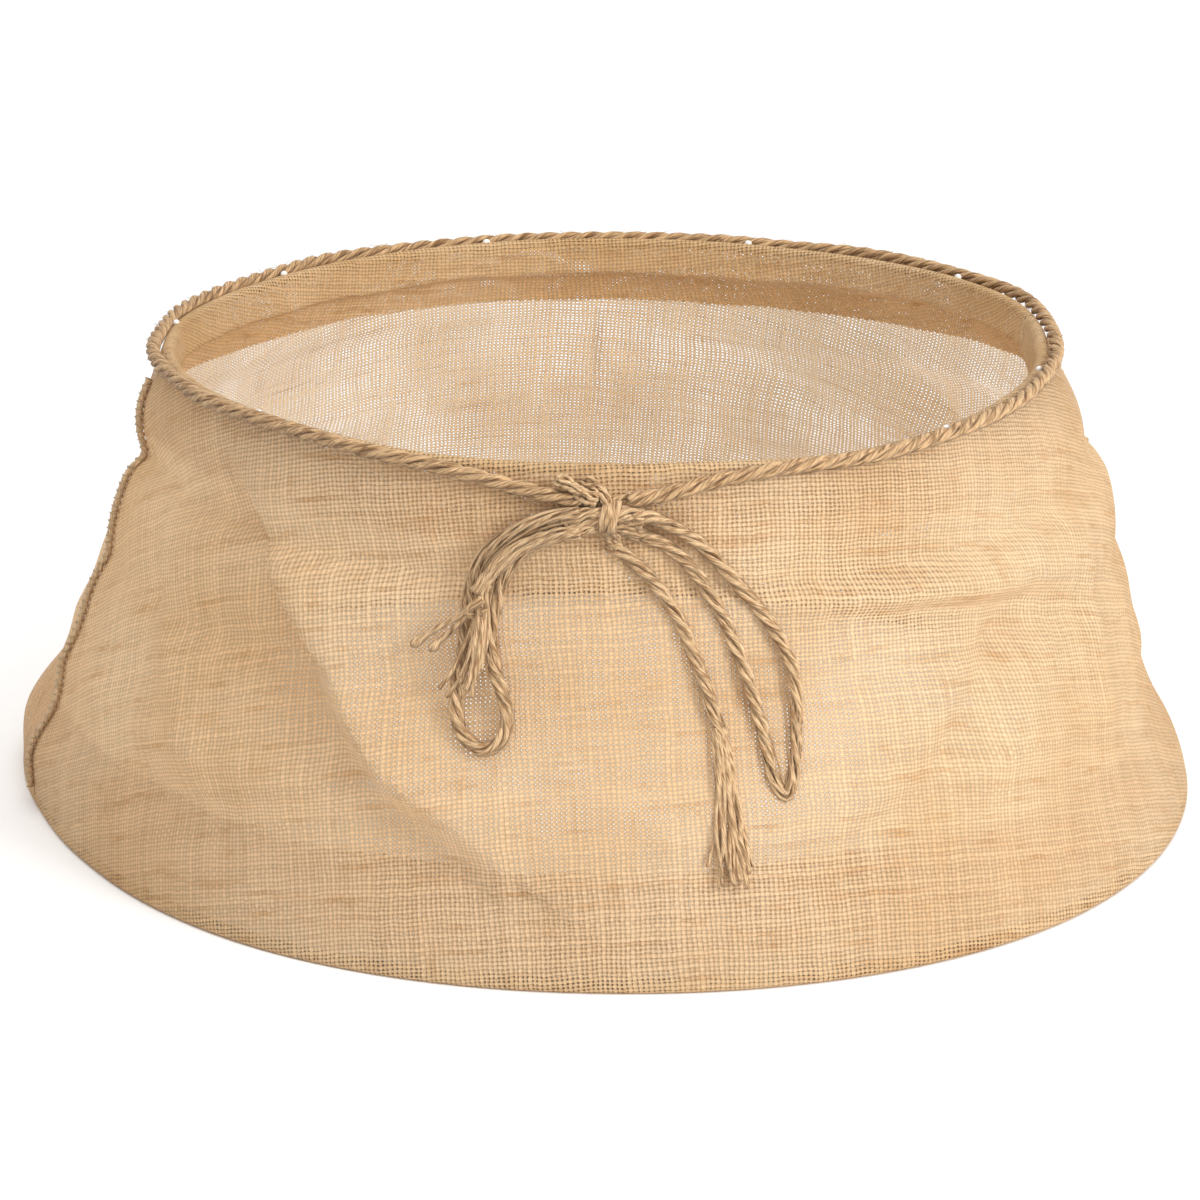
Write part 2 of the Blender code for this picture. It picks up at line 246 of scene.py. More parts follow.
def rim_lift(azimuth, height):
    """How much the cloth and the rope stand above their nominal height: 0 at the foot, most at the rim."""
    lift = ring_table(azimuth, RIM_ROUND, 2) + undulation(azimuth, 0 * height, 8, 0.00018)
    return lift * np.clip(height / HEIGHT, 0, 1) ** 2


def around(radius, azimuth, level):
    """Points at a distance from the axis, an azimuth and a height."""
    return np.stack([radius * np.sin(azimuth), -radius * np.cos(azimuth), level], axis=-1)


def spot(azimuth, height, standoff=0.0):
    """Points at an azimuth and a height, a distance outside the cloth."""
    return around(cloth_radius(azimuth, height) + standoff, azimuth, height + rim_lift(azimuth, height))


def outward(azimuth):
    """Unit vectors square to the nominal cone, away from the axis and upwards."""
    slant = math.atan(FLARE)
    return np.stack(
        [math.cos(slant) * np.sin(azimuth), -math.cos(slant) * np.cos(azimuth),
         np.full(np.shape(azimuth), math.sin(slant))],
        axis=-1,
    )


def unit(vectors):
    """The vectors at length 1."""
    return vectors / np.maximum(np.linalg.norm(vectors, axis=-1, keepdims=True), 1e-12)


def run_along(points):
    """Length along a line of points, from 0 at the first."""
    return np.concatenate([[0.0], np.cumsum(np.linalg.norm(np.diff(points, axis=0), axis=1))])


# ---------------------------------------------------------------- meshes


def make_piece(name, points, faces, corner_maps, material, body):
    """A smooth mesh from points, lists of faces, and maps that hold one (u, v) for each face corner."""
    mesh = bpy.data.meshes.new(name)
    mesh.from_pydata(points.reshape(-1, 3).tolist(), [], faces)
    for label, values in corner_maps.items():
        layer = mesh.uv_layers.new(name=label)
        layer.uv.foreach_set("vector", np.ascontiguousarray(values, np.float32).ravel())
    mesh.shade_smooth()
    mesh.materials.append(material)
    mesh.update()
    piece = bpy.data.objects.new(name, mesh)
    bpy.context.scene.collection.objects.link(piece)
    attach(piece, body)
    return piece


def grid_corners(rows, columns):
    """For each face of a grid, the (row, column) of its four corners, going round it."""
    row, column = np.meshgrid(np.arange(rows), np.arange(columns), indexing="ij")
    row, column = row.ravel()[:, None], column.ravel()[:, None]
    return row + np.array([0, 0, 1, 1]), column + np.array([0, 1, 1, 0])


def cloth_piece(name, start, sweep, profile, columns, strips, material, body, inside=False):
    """A strip of cloth turned round the axis through sweep from the start azimuth.

    profile(azimuth) gives, for a row of azimuths, arrays of radius, height and length along the cloth, one
    line for each azimuth. Its weave map is the flat cut: distance from the cone's tip and turn times the
    cone's sine, as plain x and y in metres. Its second map lays the strip out in a few rows in a square.
    """
    azimuth = start + sweep * np.arange(columns + 1) / columns
    radius, height, along = profile(azimuth)
    lines = radius.shape[1]
    points = around(radius, azimuth[:, None], height)
    corner_row, corner_column = grid_corners(columns, lines - 1)
    if not inside:
        corner_row, corner_column = corner_row[:, ::-1], corner_column[:, ::-1]
    faces = corner_row * lines + corner_column
    turn = CONE_SINE * (azimuth - (start + sweep / 2))
    flat = np.stack([along * np.sin(turn)[:, None], -along * np.cos(turn)[:, None]], axis=-1)
    share = corner_row / columns * strips
    strip = np.floor((corner_row.min(axis=1) + 0.5) / columns * strips)[:, None]
    laid = np.stack(
        [0.004 + 0.992 * (share - strip),
         (strip + 0.01 + 0.98 * corner_column / (lines - 1)) / strips], axis=-1
    )
    maps = {"weave": flat.reshape(-1, 2)[faces.ravel()], "OFBake": laid}
    return make_piece(name, points, faces.tolist(), maps, material, body)


def tubes(name, centres, radii, normals, material, body, sides=8, closed=False, flat=1.0):
    """Round tubes carried along k paths of n points, in arrays of k x n x 3.

    Each ring is the path's point plus its radius times cos and sin of the angle on two directions square
    to the path, the first of them the normal given. The map is (turn round the tube plus the tube's
    number, length along it), both in metres over the tube's own size.
    """
    count, length = centres.shape[:2]
    if closed:
        ahead = np.roll(centres, -1, axis=1) - np.roll(centres, 1, axis=1)
    else:
        ahead = np.gradient(centres, axis=1)
    ahead = unit(ahead)
    first = unit(normals - (normals * ahead).sum(-1, keepdims=True) * ahead)
    second = np.cross(ahead, first)
    angle = 2 * math.pi * np.arange(sides) / sides
    ring = (
        np.cos(angle)[None, None, :, None] * first[:, :, None] * flat
        + np.sin(angle)[None, None, :, None] * second[:, :, None]
    )
    points = centres[:, :, None] + radii[:, :, None, None] * ring
    rows = length if closed else length - 1
    corner_row, corner_column = grid_corners(rows, sides)
    one = ((corner_row % length) * sides + corner_column % sides)[None]
    faces = (one + (np.arange(count) * length * sides)[:, None, None]).reshape(-1, 4)
    steps = np.linalg.norm(np.diff(centres, axis=1), axis=-1).mean()
    number = np.repeat(np.arange(count), len(corner_row))[:, None]
    around = np.tile(corner_column, (count, 1)) / sides
    run = np.tile(corner_row, (count, 1)) * steps
    corners = np.stack([around + 3.0 * number, run / 0.01 + 7.31 * number], axis=-1).reshape(-1, 2)
    lists = faces.tolist()
    if not closed:
        base = np.arange(count)[:, None] * length * sides
        start = base + np.arange(sides)[None, ::-1]
        finish = base + (length - 1) * sides + np.arange(sides)[None]
        lists += start.tolist() + finish.tolist()
        corners = np.concatenate([corners, np.full((2 * count * sides, 2), 0.37)])
    return make_piece(name, points, lists, {"fibre": corners}, material, body)


def smooth_route(route, spacing):
    """Evenly spaced points on a Catmull-Rom curve through a route, with the outward direction at each."""
    stops = np.array(route, float)
    turn, level, standoff = np.radians(stops[:, 0]), stops[:, 1] / 1000, stops[:, 2] / 1000
    places = around(BASE_RADIUS - FLARE * level + standoff, turn, level)
    padded = np.concatenate([[2 * places[0] - places[1]], places, [2 * places[-1] - places[-2]]])
    a, b, c, d = (padded[k : len(padded) - 3 + k, None] for k in range(4))
    t = (np.arange(24) / 24)[None, :, None]
    bend = (2 * a - 5 * b + 4 * c - d) * t**2 + (3 * b - a - 3 * c + d) * t**3
    fine = np.concatenate([(0.5 * (2 * b + (c - a) * t + bend)).reshape(-1, 3), places[-1:]])
    run = run_along(fine)
    count = max(3, round(run[-1] / spacing))
    even = np.linspace(0, run[-1], count + 1)
    points = np.stack([np.interp(even, run, fine[:, k]) for k in range(3)], axis=1)
    return points, outward(np.arctan2(points[:, 0], -points[:, 1])), even


def path_frame(points, normals):
    """The normals made square to the path, and the directions square to both."""
    ahead = unit(np.gradient(points, axis=0))
    normals = unit(normals - (normals * ahead).sum(-1, keepdims=True) * ahead)
    return normals, np.cross(ahead, normals)


def lay(points, normals, run, out, side):
    """Centrelines of k strands: the path plus out along its normal and side across it, arrays of k x n."""
    normals, cross = path_frame(points, normals)
    return points[None] + out[..., None] * normals[None] + side[..., None] * cross[None]


def strand_angles(run):
    """Where three strands twisted left-handed are round a rope: each circles it once in a lay length."""
    return -2 * math.pi * (run[None] / ROPE_LAY + np.arange(3)[:, None] / 3)


def laid_strands(points, normals, run, radius):
    """Centrelines and radii of the three strands of a laid rope."""
    strand = STRAND_SHARE * radius
    angle = strand_angles(run)
    orbit = radius - strand
    centres = lay(points, normals, run, orbit * np.cos(angle), orbit * np.sin(angle))
    return centres, np.full(centres.shape[:2], strand * 1.04)


def loose_yarns(points, normals, run, count, half_width, half_depth, radius, seed, turns=1.0, wander=0.5):
    """Yarns of untwisted rope: each keeps its own place in an oval bundle that turns slowly along the path.

    A yarn's place is (half_width cos b, half_depth sin b) times its own share of the way out, turned by
    the bundle's slow twist, plus a slow wander of three sine waves.
    """
    dice = np.random.RandomState(seed)
    part = run / max(run[-1], 1e-6)
    number = np.arange(count)[:, None]
    reach = np.sqrt((number + 0.6) / count)
    bearing = number * GOLDEN_TURN + dice.uniform(0, 6.28)
    slow = 2 * math.pi * turns * part[None] * 0.5
    side = half_width * reach * np.cos(bearing + slow)
    out = half_depth * reach * np.sin(bearing + slow)
    for waves in (1.3, 2.7, 5.1):
        phase = dice.uniform(0, 6.28, (2, count, 1))
        size = wander * radius * 1.5 / waves**0.7
        side = side + size * np.sin(2 * math.pi * waves * part[None] + phase[0])
        out = out + size * np.sin(2 * math.pi * waves * part[None] + phase[1])
    phase = dice.uniform(0, 6.28, (count, 1))
    radii = radius * (1 + 0.18 * np.sin(9 * part[None] * LOOSE_YARN_BUMPS + phase))
    radii = radii * dice.uniform(0.8, 1.15, (count, 1))
    return lay(points, normals, run, out, side), radii


# ---------------------------------------------------------------- materials


class Nodes:
    """Short ways of adding nodes to one material."""

    def __init__(self, name):
        self.material = bpy.data.materials.new(name)
        self.material.use_nodes = True
        self.tree = self.material.node_tree
        self.shader = self.tree.nodes["Principled BSDF"]

    def add(self, kind, **settings):
        node = self.tree.nodes.new(kind)
        for key, value in settings.items():
            setattr(node, key, value)
        return node

    def feed(self, socket, value):
        if hasattr(value, "links") or isinstance(value, bpy.types.NodeSocket):
            self.tree.links.new(value, socket)
        else:
            socket.default_value = value

    def fill(self, node, values):
        """Feeds a node's first inputs in order and gives its first output."""
        for socket, value in zip(node.inputs, values, strict=False):
            self.feed(socket, value)
        return node.outputs[0]

    def settle(self, node, **values):
        """Sets inputs by name, with _ for a space."""
        for key, value in values.items():
            node.inputs[key.replace("_", " ")].default_value = value

    def math(self, operation, *values):
        return self.fill(self.add("ShaderNodeMath", operation=operation), values)

    def times(self, first, second):
        return self.math("MULTIPLY", first, second)

    def plus(self, first, second):
        return self.math("ADD", first, second)

    def minus(self, first, second):
        return self.math("SUBTRACT", first, second)

    def larger(self, first, second):
        return self.math("MAXIMUM", first, second)

    def scaled(self, value, slope, start):
        return self.math("MULTIPLY_ADD", value, slope, start)

    def ramp(self, value, low, high, to_low=0.0, to_high=1.0):
        node = self.add("ShaderNodeMapRange", interpolation_type="SMOOTHSTEP")
        return self.fill(node, (value, low, high, to_low, to_high))

    def noise(self, vector, scale, detail=2.0, roughness=0.5):
        node = self.add("ShaderNodeTexNoise")
        self.feed(node.inputs["Vector"], vector)
        self.settle(node, Scale=scale, Detail=detail, Roughness=roughness)
        return node

    def combine(self, x, y, z=0.0):
        return self.fill(self.add("ShaderNodeCombineXYZ"), (x, y, z))

    def split(self, vector):
        """The outputs of a node that parts a vector into x, y and z."""
        node = self.add("ShaderNodeSeparateXYZ")
        self.feed(node.inputs[0], vector)
        return node.outputs

    def shifted(self, vector, noise, amount):
        """The vector moved by a noise's colour times an amount in x and y."""
        node = self.add("ShaderNodeVectorMath", operation="MULTIPLY_ADD")
        self.feed(node.inputs[0], noise.outputs["Color"])
        node.inputs[1].default_value = (amount, amount, 0.0)
        self.feed(node.inputs[2], vector)
        return node.outputs[0]

    def roughen(self, height, strength, distance):
        """Bumps on the shader's normal."""
        node = self.add("ShaderNodeBump")
        self.settle(node, Strength=strength, Distance=distance)
        self.feed(node.inputs["Height"], height)
        self.feed(self.shader.inputs["Normal"], node.outputs[0])

    def mix_shaders(self, share, first, second):
        node = self.add("ShaderNodeMixShader")
        return self.fill(node, (share, first.outputs[0], second.outputs[0])).node

    def mix(self, share, first, second):
        node = self.add("ShaderNodeMix", data_type="RGBA")
        self.feed(node.inputs[0], share)
        self.feed(node.inputs[6], first)
        self.feed(node.inputs[7], second)
        return node.outputs[2]

    def shade(self, colour, amount):
        """The colour times a grey amount."""
        node = self.add("ShaderNodeVectorMath", operation="SCALE")
        self.feed(node.inputs[0], colour)
        self.feed(node.inputs["Scale"], amount)
        return node.outputs[0]


def burlap(name, straw, tan, brown, warp_half, weft_half, through, closing=0.0):
    """Open plain weave on the piece's weave map, which is in metres.

    Two sets of threads cross at the two pitches. A thread covers the cloth where the distance from its
    middle, as a share of the pitch, is under its half width, which differs from thread to thread and
    swells into slubs along it. Threads pass over and under each other by turns. Where neither covers, the
    cloth is open. The share through of the light passes through the threads. Closing widens the threads
    towards both sides, towards the left and towards the foot, in the object's own coordinates.
    """
    n = Nodes(name)
    place = n.add("ShaderNodeUVMap", uv_map="weave").outputs["UV"]
    wandering = n.shifted(place, n.noise(place, 26.0, 3.0), 0.0042)
    shaken = n.shifted(wandering, n.noise(place, 190.0, 1.0), 0.0010)
    across_warp, across_weft = n.split(shaken)[:2]
    warp, weft = n.math("DIVIDE", across_warp, WARP_PITCH), n.math("DIVIDE", across_weft, WEFT_PITCH)
    warp_number, weft_number = n.math("FLOOR", warp), n.math("FLOOR", weft)
    warp_off = n.minus(n.math("FRACT", warp), 0.5)
    weft_off = n.minus(n.math("FRACT", weft), 0.5)
    parity = n.scaled(n.math("FLOORED_MODULO", n.plus(warp_number, weft_number), 2.0), -2.0, 1.0)

    opened = n.ramp(n.noise(place, 14.0, 2.0).outputs[0], 0.34, 0.68, 0.045, -0.03)
    if closing:
        x, _, z = n.split(n.add("ShaderNodeTexCoord").outputs["Object"])
        opened = n.plus(opened, n.ramp(n.math("ABSOLUTE", x), 0.11, 0.22, 0.0, closing))
        opened = n.plus(opened, n.ramp(z, 0.06, 0.13, 0.6 * closing, 0.0))
        # Painted shade: the weave closes towards the left, where the cloth is in shade, so less light shows
        # through its gaps there.
        opened = n.plus(opened, n.ramp(x, -0.17, -0.06, 0.5 * closing, 0.0))

    def thread(number, off, other, half, seed):
        """Cover, rounded profile and random grey of one set of threads."""
        own = n.add("ShaderNodeTexWhiteNoise", noise_dimensions="1D")
        n.feed(own.inputs["W"], n.plus(number, seed))
        slub = n.noise(n.combine(n.times(number, 3.7), n.times(other, 0.035), seed), 1.0, 2.0)
        hair = n.noise(n.combine(n.times(number, 5.1), n.times(other, 1.4), seed), 1.0, 2.0)
        width = n.scaled(own.outputs["Value"], 0.08, half - 0.04)
        width = n.plus(width, n.ramp(slub.outputs[0], 0.35, 0.75, -0.04, 0.10))
        width = n.scaled(n.minus(hair.outputs[0], 0.5), 0.16, width)
        far = n.math("ABSOLUTE", off)
        cover = n.ramp(n.minus(n.plus(width, opened), far), -0.04, 0.04)
        share = n.math("DIVIDE", far, n.larger(width, 0.05))
        body = n.math("SQRT", n.larger(n.minus(1.0, n.math("POWER", share, 2.0)), 0.0))
        return cover, body, own.outputs["Value"]

    warp_cover, warp_body, warp_grey = thread(warp_number, warp_off, weft, warp_half, 11.0)
    weft_cover, weft_body, weft_grey = thread(weft_number, weft_off, warp, weft_half, 47.0)
    over = n.times(parity, n.math("COSINE", n.times(weft_off, math.pi)))
    under = n.times(parity, n.math("COSINE", n.times(warp_off, math.pi)))
    warp_top = n.times(warp_cover, n.scaled(over, 0.45, n.plus(warp_body, 0.6)))
    weft_top = n.times(weft_cover, n.scaled(under, -0.45, n.plus(weft_body, 0.6)))
    height = n.larger(warp_top, weft_top)
    is_warp = n.math("GREATER_THAN", warp_top, weft_top)
    grey = n.add("ShaderNodeMix", data_type="FLOAT")
    n.feed(grey.inputs[0], is_warp)
    n.feed(grey.inputs[2], weft_grey)
    n.feed(grey.inputs[3], warp_grey)
    patch = n.noise(place, 7.5, 3.0, 0.6)
    blotch = n.noise(n.combine(n.times(warp_number, 0.31), n.times(weft, 0.07)), 1.0, 3.0, 0.6)
    streak = n.noise(n.combine(n.times(warp, 0.06), n.times(weft_number, 0.37)), 1.0, 3.0, 0.6)
    colour = n.mix(n.ramp(patch.outputs[0], 0.3, 0.72), straw, tan)
    colour = n.mix(n.ramp(streak.outputs[0], 0.52, 0.78, 0.0, 0.75), colour, brown)
    colour = n.mix(n.ramp(blotch.outputs[0], 0.56, 0.8, 0.0, 0.5), colour, brown)
    tone = n.scaled(grey.outputs[0], 0.12, 0.94)
    # Painted light and shade on the weave: knuckles on top are lighter, while thread edges, low spots and
    # threads dipping under are darker. The fine noise after it adds a random tone.
    knuckle = n.larger(n.times(over, is_warp), n.times(under, n.minus(is_warp, 1.0)))
    depth = n.times(n.ramp(height, 0.4, 1.3, 0.74, 1.0), n.scaled(knuckle, 0.24, 0.88))
    depth = n.times(depth, n.scaled(n.noise(place, 1500.0, 2.0).outputs[0], 0.3, 0.85))
    colour = n.shade(colour, n.times(tone, depth))
    n.feed(n.shader.inputs["Base Color"], colour)
    n.settle(n.shader, Roughness=0.92, Specular_IOR_Level=0.12)
    n.roughen(height, 0.8, 0.0005)
    glow = n.add("ShaderNodeBsdfTranslucent")
    n.feed(glow.inputs["Color"], colour)
    lit = n.mix_shaders(through, n.shader, glow)
    cover = n.larger(warp_cover, weft_cover)
    final = n.mix_shaders(cover, n.add("ShaderNodeBsdfTransparent"), lit)
    n.feed(n.tree.nodes["Material Output"].inputs["Surface"], final.outputs[0])
    return n.material


def jute(name, straw, brown, fine=1.0):
    """Twisted bast fibre on the fibre map: streaks along the strand that slant slowly round it.

    Faces that look down are darkened, in place of the shadow that hairy rope holds under itself.
    """
    n = Nodes(name)
    turn, along = n.split(n.add("ShaderNodeUVMap", uv_map="fibre").outputs["UV"])[:2]
    twisted = n.scaled(along, 0.35, turn)
    streaks = n.noise(n.combine(n.times(twisted, 9.0 * fine), n.times(along, 0.5)), 1.0, 3.0, 0.65)
    hairs = n.noise(n.combine(n.times(twisted, 26.0 * fine), n.times(along, 1.3)), 1.0, 2.0, 0.6)
    patch = n.noise(n.combine(turn, n.times(along, 0.45)), 0.9, 2.0, 0.5)
    colour = n.mix(n.ramp(streaks.outputs[0], 0.36, 0.58), brown, straw)
    rusty = (0.50, 0.24, 0.085, 1.0)
    colour = n.mix(n.ramp(patch.outputs[0], 0.62, 0.8, 0.0, 0.5), colour, rusty)
    colour = n.shade(colour, n.ramp(hairs.outputs[0], 0.32, 0.68, 0.62, 1.22))
    facing_up = n.split(n.add("ShaderNodeNewGeometry").outputs["Normal"])[2]
    colour = n.shade(colour, n.ramp(facing_up, -0.75, 0.25, 0.55, 1.0))
    n.feed(n.shader.inputs["Base Color"], colour)
    n.settle(n.shader, Roughness=0.75, Specular_IOR_Level=0.25, Sheen_Weight=0.15)
    n.roughen(n.scaled(hairs.outputs[0], 0.5, streaks.outputs[0]), 0.9, 0.0006)
    return n.material


def drawn_metal(name, colour, roughness, scale):
    """Metal with fine scratches and a cloudy dullness, on object coordinates."""
    n = Nodes(name)
    place = n.add("ShaderNodeTexCoord").outputs["Object"]
    cloud = n.noise(place, scale, 3.0)
    dull = tuple(0.7 * c for c in colour[:3]) + (1.0,)
    n.feed(n.shader.inputs["Base Color"], n.mix(cloud.outputs[0], colour, dull))
    uneven = n.ramp(cloud.outputs[0], 0.3, 0.7, roughness - 0.08, roughness + 0.15)
    n.feed(n.shader.inputs["Roughness"], uneven)
    n.shader.inputs["Metallic"].default_value = 1.0
    return n.material


def cloudy_plastic(name):
    """White nylon, a little uneven in tone."""
    n = Nodes(name)
    cloud = n.noise(n.add("ShaderNodeTexCoord").outputs["Object"], 900.0, 2.0)
    colour = n.mix(cloud.outputs[0], (0.86, 0.85, 0.82, 1.0), (0.98, 0.98, 0.97, 1.0))
    n.feed(n.shader.inputs["Base Color"], colour)
    n.shader.inputs["Roughness"].default_value = 0.35
    return n.material


# The burlap copies are one cloth. Besides their weave and translucency, their colours differ as painted
# light and shade: the back's copy is lighter, painted light, and the facing and turned copies are darker,
# painted shade.
single_cloth = burlap(
    "burlap_single", (0.835, 0.615, 0.385, 1), (0.77, 0.525, 0.295, 1), (0.64, 0.38, 0.18, 1),
    0.325, 0.33, 0.3, 0.11,
)
lit_loose_cloth = burlap(
    "burlap_back_lit", (0.88, 0.68, 0.46, 1), (0.82, 0.59, 0.36, 1), (0.70, 0.46, 0.25, 1), 0.285, 0.29, 0.42
)
shaded_facing_cloth = burlap(
    "burlap_facing_shaded", (0.77, 0.535, 0.305, 1), (0.67, 0.43, 0.21, 1), (0.50, 0.27, 0.11, 1), 0.355, 0.36, 0.22
)
shaded_turned_cloth = burlap(
    "burlap_turned_shaded", (0.81, 0.58, 0.345, 1), (0.72, 0.475, 0.25, 1), (0.57, 0.32, 0.14, 1), 0.345, 0.35, 0.25
)
jute_laid = jute("jute_laid", (0.69, 0.45, 0.235, 1), (0.27, 0.14, 0.057, 1))
jute_yarn = jute("jute_yarn", (0.76, 0.52, 0.29, 1), (0.34, 0.18, 0.075, 1), 0.7)
seam_cloth = jute("seam_cloth", (0.74, 0.53, 0.32, 1), (0.60, 0.38, 0.20, 1))
jute_hair = jute("jute_hair", (0.76, 0.56, 0.34, 1), (0.55, 0.36, 0.19, 1), 0.5)
hoop_wire = drawn_metal("hoop_wire_steel", (0.35, 0.34, 0.33, 1.0), 0.35, 160.0)
crimp = drawn_metal("crimp_aluminium", (0.55, 0.55, 0.54, 1.0), 0.4, 420.0)
nylon = cloudy_plastic("tack_nylon")


# ---------------------------------------------------------------- cloth pieces

SLANT = math.hypot(1, FLARE)
TIP = BASE_RADIUS / FLARE * SLANT  # from the cone's tip to its foot, along the slant
SEAM_GAP = 0.0006


def wall_at(azimuth, height):
    """The panel's radius on a grid of one azimuth for each row of heights."""
    return cloth_radius(np.broadcast_to(azimuth[:, None], height.shape), height)


def length_down(radius, level):
    """Length along each line of a profile, from 0 at its first point."""
    steps = np.hypot(np.diff(radius, axis=1), np.diff(level, axis=1))
    return np.concatenate([np.zeros((len(radius), 1)), np.cumsum(steps, axis=1)], axis=1)


def panel_profile(azimuth):
    """From the panel's top to its foot: the cloth's own radius at each height."""
    height = np.broadcast_to(np.linspace(PANEL_TOP, PANEL_FOOT, 72)[None], (len(azimuth), 72))
    turn = np.broadcast_to(azimuth[:, None], height.shape)
    return cloth_radius(turn, height), height + rim_lift(turn, height), TIP - height * SLANT


def facing_profile(azimuth):
    """Over the hoop in half a circle, leaning inwards to a crease, then back to the panel and its raw edge.

    The raw edge is uneven, and the band stands off the panel by a slow amount of its own.
    """
    rise = np.linspace(0, math.pi, 11)
    top = cloth_radius(azimuth, np.full(len(azimuth), PANEL_TOP))
    lift = rim_lift(azimuth, np.full(len(azimuth), PANEL_TOP))
    bulge = 1 + 0.22 * unevenness(azimuth, 21, 0.35)
    arc_radius = top[:, None] - FOLD_REACH * bulge[:, None] * (1 - np.cos(rise))
    arc_height = PANEL_TOP + lift[:, None] + FOLD_REACH * np.sin(rise)[None]
    depth = 0.0365 + unevenness(azimuth, 31, 0.0010) + 0.0007 * np.sin(310 * azimuth)
    part = np.linspace(0, 1, 25)[None, 1:]
    height = PANEL_TOP - depth[:, None] * part
    wall = wall_at(azimuth, height)
    crease = 0.42 + 0.10 * unevenness(azimuth, 17, 0.5)[:, None]
    lean = 0.0022 + unevenness(azimuth, 27, 0.0011)[:, None]
    inner = arc_radius[:, -1:] - lean * part / crease
    edge_gap = 0.0020 + np.abs(unevenness(azimuth, 23, 0.0010))[:, None]
    knee = np.clip((part - crease) / (0.28 * (1 - crease)), 0, 1)
    knee = knee * knee * (3 - 2 * knee)
    outer = wall - edge_gap - 0.004 * np.clip((1 - part) / (1 - crease), 0, 1)
    band = inner + (outer - inner) * knee
    band = np.minimum(band, wall - 0.0014)
    radius = np.concatenate([arc_radius, band], axis=1)
    level = np.concatenate([arc_height, height + lift[:, None]], axis=1)
    return radius, level, TIP - PANEL_TOP * SLANT - length_down(radius, level)


def hem_fold_profile(azimuth):
    """Down from the panel's foot, flat along the floor round the bottom hoop, and up inside."""
    low = np.full(len(azimuth), 0.0)
    foot = cloth_radius(azimuth, low)
    shape = [(0.0, PANEL_FOOT), (0.0, 0.0045), (0.0004, 0.0018), (0.0016, 0.0005), (0.0045, 0.0004),
             (0.0080, 0.0005), (0.0102, 0.0016), (0.0110, 0.0040), (0.0106, PANEL_FOOT)]
    at = cloth_radius(azimuth, low + PANEL_FOOT)
    inset = np.array([s for s, _ in shape])[None]
    level = np.broadcast_to(np.array([z for _, z in shape])[None], (len(azimuth), len(shape)))
    lean = (at - foot)[:, None] * level / PANEL_FOOT
    radius = foot[:, None] + lean - inset
    return radius, level, TIP - PANEL_FOOT * SLANT + length_down(radius, level)


def hem_band_profile(azimuth):
    """Up inside the panel from the hem's fold to its raw edge, closing on the panel as it rises."""
    depth = 0.049 + unevenness(azimuth, 41, 0.0009) + 0.0006 * np.sin(290 * azimuth)
    part = np.linspace(0, 1, 16)[None]
    height = PANEL_FOOT + depth[:, None] * part
    wall = wall_at(azimuth, height)
    gap = 0.0106 + (0.0017 - 0.0106) * np.sin(0.5 * math.pi * np.clip(part * 1.6, 0, 1))
    radius = wall - gap - np.abs(unevenness(azimuth, 43, 0.0006))[:, None] * part
    return radius, height, TIP - PANEL_FOOT * SLANT + 0.030 + height * SLANT


HALF = math.pi - SEAM_GAP / BASE_RADIUS * 2
collar = []
for side, start in (("front", LEFT_SEAM), ("back", RIGHT_SEAM)):
    begin = start + SEAM_GAP / BASE_RADIUS
    panel = cloth_piece(
        f"{side}_panel_cloth", begin, HALF, panel_profile, 300, 2,
        single_cloth if side == "front" else lit_loose_cloth, "base"
    )
    facing = cloth_piece(
        f"{side}_shaded_facing_cloth", begin, HALF, facing_profile, 480, 4,
        shaded_turned_cloth if side == "front" else shaded_facing_cloth, "rim",
        inside=True,
    )
    hem_fold = cloth_piece(
        f"{side}_hem_fold", begin, HALF, hem_fold_profile, 300, 6, shaded_turned_cloth, "base"
    )
    hem_band = cloth_piece(
        f"{side}_hem_band", begin, HALF, hem_band_profile, 480, 4,
        shaded_turned_cloth if side == "front" else lit_loose_cloth, "base",
        inside=True,
    )
    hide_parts(f"{side}_panel")
    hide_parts(f"{side}_top_facing")
    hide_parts(f"{side}_bottom_hem")
    collar += [panel, hem_band]


def seam_line(azimuth, count):
    """Points down a side seam, from just under the rope to the hem's fold, and the outward directions."""
    turn = np.full(count, azimuth)
    return spot(turn, np.linspace(0.236, 0.011, count), SEAM_STANDOFF), outward(turn)


for side, seam in (("left", LEFT_SEAM), ("right", RIGHT_SEAM)):
    points, normals = seam_line(seam, 180)
    bead = 0.0023 + 0.00035 * np.sin(np.arange(180) * 2.4)
    roll = tubes(
        f"{side}_seam_roll", points[None], bead[None], normals[None], seam_cloth, "base", 10,
        flat=0.8,
    )
    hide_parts(f"{side}_side_seam")
    run = np.linspace(0, 0.235, 900)
    line, normal = seam_line(seam, 900)
    angle = 2 * math.pi * run / 0.0042
    stitch = lay(line, normal, run, 0.0022 * np.cos(angle)[None], 0.0027 * np.sin(angle)[None])
    thread = tubes(
        f"{side}_seam_stitches", stitch, np.full((1, 900), 0.00042), np.broadcast_to(normal, (1, 900, 3)),
        jute_hair, "base", 4,
    )
    collar += [roll, thread]


# ---------------------------------------------------------------- hoops, splices and tacks


